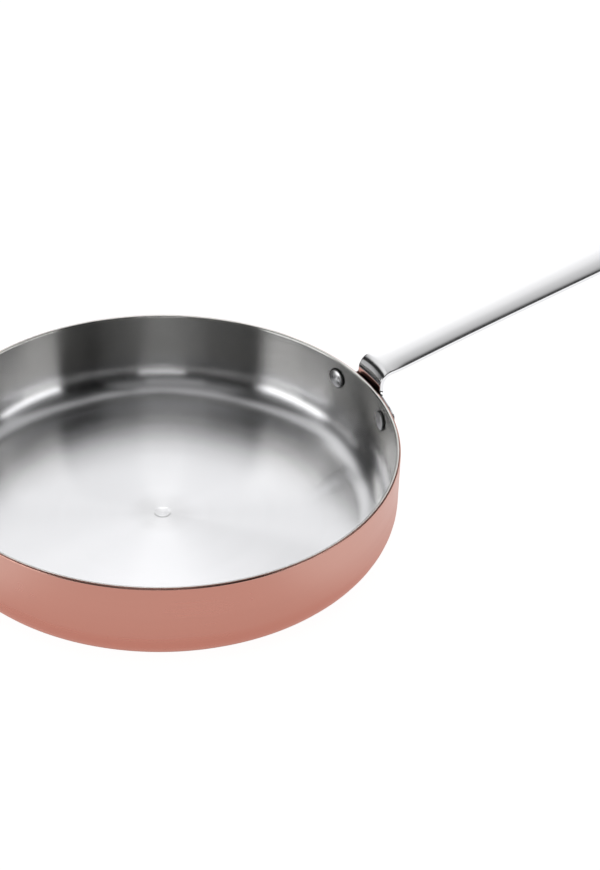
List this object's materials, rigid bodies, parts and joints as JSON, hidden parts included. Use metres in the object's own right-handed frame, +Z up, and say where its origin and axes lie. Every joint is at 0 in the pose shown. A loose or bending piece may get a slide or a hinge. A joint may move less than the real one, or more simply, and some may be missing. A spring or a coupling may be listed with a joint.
{
  "type": "saute pan",
  "caption": "Low straight-sided copper saute pan with a bonded steel lining and a long upswept strip handle riveted to the wall.",
  "frame": {"origin": "centre of the flat base, on the pan's axis, where it stands on the hob", "axes": "+Z up along the pan's axis, +X along the handle, away from the pan"},
  "size_m": [0.4555, 0.26, 0.1026],
  "materials": {
    "copper": "satin polished copper",
    "spun_steel": "circular spun satin",
    "polished_steel": "polished",
    "rivet_steel": "tumbled bright"
  },
  "bodies": {
    "root": {"copper_body": "copper", "steel_lining": "spun_steel", "handle": "polished_steel", "rivet_left": "rivet_steel", "rivet_right": "rivet_steel"}
  },
  "joints": []
}
